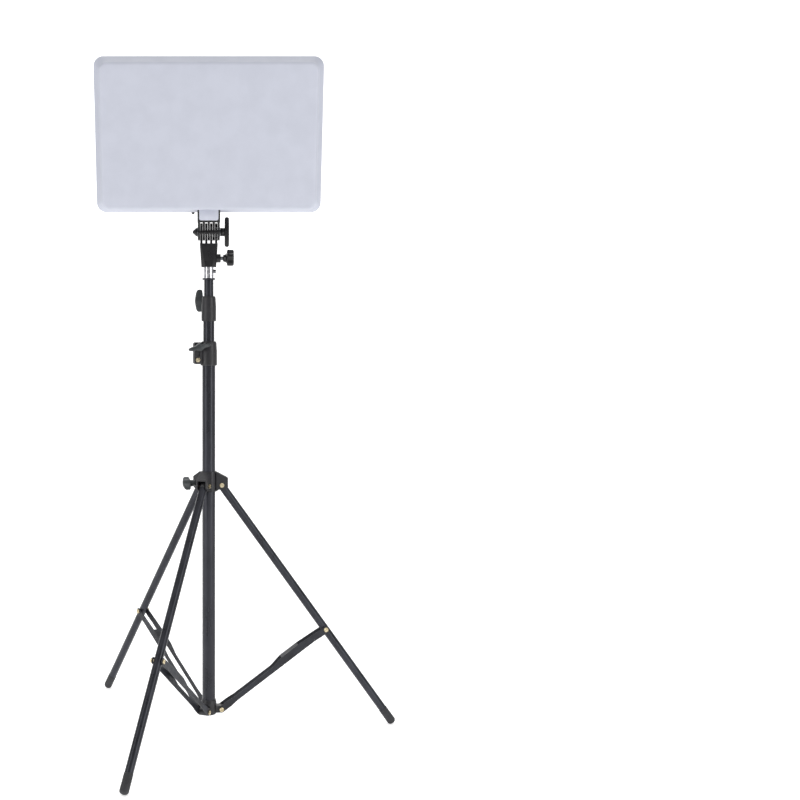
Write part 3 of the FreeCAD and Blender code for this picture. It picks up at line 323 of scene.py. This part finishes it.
outer = [(inset, -34.0) for inset in (108, 80, 50, 30, 16, 9, 6.2)]
outer += [(5.6 - 5.6 * math.sin(a), -34 + 5.6 - 5.6 * math.cos(a)) for a in np.linspace(0, math.pi / 2, 12)]
outer += [(0, y) for y in (-26, -22, -18, -15.2)]
cover_rings = [lamp_ring(SKIRT_HALF - 9 - i, 112 - i, 14 - i, y) for i, y in outer]
for t in np.linspace(0, 1, 14)[1:]:
    ease = t ** 1.25
    cover_rings.append(lamp_ring(SKIRT_HALF - 9 + 9 * ease, 112 + 7 * ease, 14 + ease, -15.2 + 12.0 * t))
cover_rings += [
    lamp_ring(SKIRT_HALF - inset, 119 - drop, radius, y)
    for inset, drop, radius, y in (
        (0, 0, 15, -2.6), (0.4, 0.4, 14.6, -2.1), (1, 1, 14, -2.0), (12, 12, 11, -2.0), (12, 12, 11, -4.0),
        (2.5, 2.4, 13, -4.1), (11, 9, 12, -14), (11, 9, 12, -30), (13, 11, 11, -32), (114, 89, 4, -32))]
shade = shell("diffuser_shade", cover_rings, LAMP, FINISH["diffuser_white"], "panel",
              ["diffuser_cover"])

# The tab is the same white plastic, a flat tongue with two round lower corners.
tab_outline = ring(15.2, 9.2, 3.2, 8, 3)
tab_rings = []
for shrink, depth in ((0.5, -14.0), (0.0, -13.6), (0.0, -12.5), (0.4, -12.2)):
    scale = np.array([(15.2 - shrink) / 15.2, (9.2 - shrink) / 9.2])
    flat = tab_outline * scale
    tab_rings.append(np.stack([flat[:, 0], np.full(len(flat), depth), 29.7 + flat[:, 1]], 1))
shell("diffuser_tab", tab_rings, LAMP, FINISH["diffuser_white"], "panel", [])

# ---------------------------------------------------------------- wing knobs, star grip and tilt handle
# Hand grips moulded in black glass-filled nylon over steel bolts. Each is a stack of outlines
# that swell from a round neck into wings, lobes or a bar, with soft edges all round.


def knob(name, rows, shape, place, body, nodes, finish=FINISH["knob_black"], steps=120):
    """A grip about local Z. rows gives (height, size, blend) and shape(angle, blend) the radius.

    radius(angle, row) = size * shape(angle, blend), where blend runs from 0, round, to 1, full grip.
    """
    angle = np.linspace(0, 2 * math.pi, steps, endpoint=False)
    rings = []
    for height, size, mix in rows:
        turn, radius = shape(angle, mix)
        rings.append(np.stack([
            size * radius * np.cos(turn), size * radius * np.sin(turn), np.full(steps, height)], 1))
    return shell(name, rings, place, finish, body, nodes)


def wings(angle, mix):
    """Two flat rounded wings that join a round hub.

    The wing is |x/L|^3 + |y/T|^3 = 1, the hub x^2 + y^2 = H^2, and the radius is the smooth larger
    of both, (w^6 + h^6)^(1/6). mix stretches L from the hub's radius to the full span.
    """
    length, half, hub = 6.2 + (17.9 - 6.2) * mix, 3.5, 6.0
    turn = np.arctan2(np.sin(angle) * (0.42 + 0.58 * (1 - mix)), np.cos(angle))
    wing = (np.abs(np.cos(turn) / length) ** 3 + np.abs(np.sin(turn) / half) ** 3) ** (-1 / 3)
    return turn, (wing ** 6 + hub ** 6) ** (1 / 6)


def star(angle, mix):
    """Five round lobes: radius = 12 * (1 + 0.155 * mix * cos(5 angle) - 0.012 * mix * cos(10 angle))."""
    return angle, 12 * (1 + 0.155 * mix * np.cos(5 * angle) - 0.012 * mix * np.cos(10 * angle))


def stand_at(origin, outward, across):
    """The matrix of a grip whose local Z is outward and whose wings lie along across."""
    z = Vector(outward).normalized()
    x = (Vector(across) - z * Vector(across).dot(z)).normalized()
    turn = Matrix((x, z.cross(x), z)).transposed().to_4x4()
    return Matrix.Translation(Vector(origin) / MM) @ turn


def wing_rows(neck):
    """Heights and sizes of a wing knob: a slim neck, quick swell, long wings and a domed top."""
    rows = [(0.0, 0.72, 0.0), (0.15, 0.78, 0.0), (neck * 0.55, 0.82, 0.0), (neck - 0.6, 0.9, 0.04)]
    grip = (
        (0.1, 0.94, 0.5), (0.6, 0.965, 0.82), (1.4, 0.99, 0.96), (2.6, 1.0, 1.0), (5, 1.0, 1.0),
        (7.2, 1.0, 1.0), (8.6, 0.985, 0.95), (9.8, 0.96, 0.84), (10.7, 0.92, 0.66), (11.4, 0.84, 0.42),
        (11.9, 0.7, 0.2), (12.2, 0.45, 0.05))
    return rows + [(neck + rise, size, mix) for rise, size, mix in grip]


def level(azimuth):
    return Vector((math.cos(math.radians(azimuth)), math.sin(math.radians(azimuth)), 0))


def wing_direction(side, tilt):
    """The wings' direction: side, raised by tilt degrees."""
    return side * math.cos(math.radians(tilt)) + Vector((0, 0, math.sin(math.radians(tilt))))


for name, joint, body, node, neck, side, tilt in (
    ("lower_wing_knob", "lower_knob_turn", "lower_knob", "lower_knob", 8.0, level(193), -14),
    ("upper_wing_knob", "upper_knob_turn", "upper_knob", "upper_knob", 8.0, level(78), -90),
    ("spider_wing_knob", "spider_knob_turn", "spider_knob", "spider_knob", 12.0, level(277), -25),
):
    origin, outward = JOINTS[joint]["pos_m"], JOINTS[joint]["axis"]
    knob(name, wing_rows(neck), wings, stand_at(origin, outward, wing_direction(side, tilt)), body, [node])

star_rows = [(3.6, 0.30, 0), (3.9, 0.42, 0), (6.5, 0.5, 0), (9.0, 0.60, 0.1)]
star_rows += [(9.6, 0.72, 0.5), (10.0, 0.9, 0.9)]
star_rows += [(10.6, 0.97, 1), (12, 1.0, 1), (15, 1.0, 1), (18.5, 1.0, 1), (19.9, 0.97, 1), (20.7, 0.9, 0.95)]
star_rows += [(21.0, 0.78, 0.8), (21.05, 0.62, 0.4), (20.6, 0.5, 0.1), (20.5, 0.3, 0)]
knob("star_grip", star_rows, star, stand_at(JOINTS["pan_knob_turn"]["pos_m"], (1, 0, 0), (0, 0, 1)),
     "pan_knob", ["pan_knob"], HEAD_BLACK)

# The tilt handle is a blunt flat-ended bar, a little wider in the middle, across a short round hub.
bar_rings = []
for t in np.sin(np.linspace(-math.pi / 2, math.pi / 2, 49)):
    end = math.sqrt(max(1 - abs(t) ** 26, 0.2))
    width = (4.6 + 3.1 * math.cos(t * math.pi / 2) ** 0.9) * end
    thick = 3.65 * (0.94 + 0.06 * math.cos(t * math.pi / 2)) * end
    section = ring(thick, width, min(1.9, thick * 0.9, width * 0.9), 7, 3)
    bar_rings.append(np.stack([28.65 + section[:, 0], section[:, 1], np.full(len(section), 23.5 * t)], 1))
pivot_place = Matrix.Translation(Vector(JOINTS["tilt"]["pos_m"]) / MM)
shell("tilt_bar", bar_rings, pivot_place, HEAD_BLACK, "tilt_handle", ["tilt_handle"])


def lathe(name, profile, place, finish, body, nodes, steps=64):
    """A turned piece about local Z from (radius, height) pairs, closed at both ends."""
    angle = np.linspace(0, 2 * math.pi, steps, endpoint=False)
    rings = [np.stack([r * np.cos(angle), r * np.sin(angle), np.full(steps, h)], 1) for r, h in profile]
    return shell(name, rings, place, finish, body, nodes)


hub_profile = [(5.4, 0.2), (6.2, 0.2), (6.7, 0.7), (6.7, 5.2), (6.4, 6.6), (6.0, 8.0), (4.0, 8.0)]
across_place = pivot_place @ Matrix.Translation((18.3, 0, 0)) @ Matrix.Rotation(math.radians(90), 4, "Y")
lathe("tilt_hub", hub_profile, across_place, HEAD_BLACK, "tilt_handle", [])

# ---------------------------------------------------------------- rubber feet
# Each leg ends in a slip-on rubber boot: a plain sleeve with a rolled lip, three grip rings
# and a blunt round-edged end, worn flat where it stands on the floor.

FOOT_REACH, FOOT_HEIGHT = 303.7, 6.8
for number in (1, 2, 3):
    pivot = Vector(JOINTS["leg_%d_fold" % number]["pos_m"]) / MM
    heading = math.atan2(pivot.y, pivot.x)
    foot = Vector((FOOT_REACH * math.cos(heading), FOOT_REACH * math.sin(heading), FOOT_HEIGHT))
    length = (foot - pivot).length
    place = stand_at(pivot * MM, foot - pivot, (0, 0, 1))
    profile = [(6.52, -23.9), (6.8, -24.0), (7.0, -23.4), (7.0, -22.2), (6.8, -21.6)]
    for centre in (-17.5, -13.5, -9.5):
        profile += [(6.8, centre - 1.1), (7.0, centre - 0.5), (7.0, centre + 0.5), (6.8, centre + 1.1)]
    profile += [(6.9, -6.5), (7.0, -5.0), (7.0, 0.0)]
    profile += [(7.0 * math.cos(a) ** 0.8, 6.05 * math.sin(a) ** 0.8) for a in np.linspace(0.05, 1.5, 18)]
    boot = lathe("foot_boot_%d" % number, [(r, length + h) for r, h in profile], place,
                 FINISH["foot_rubber"], "leg_%d" % number, ["leg_%d_foot" % number])
    for vertex in boot.data.vertices:
        vertex.co.z = max(vertex.co.z, 0.0)
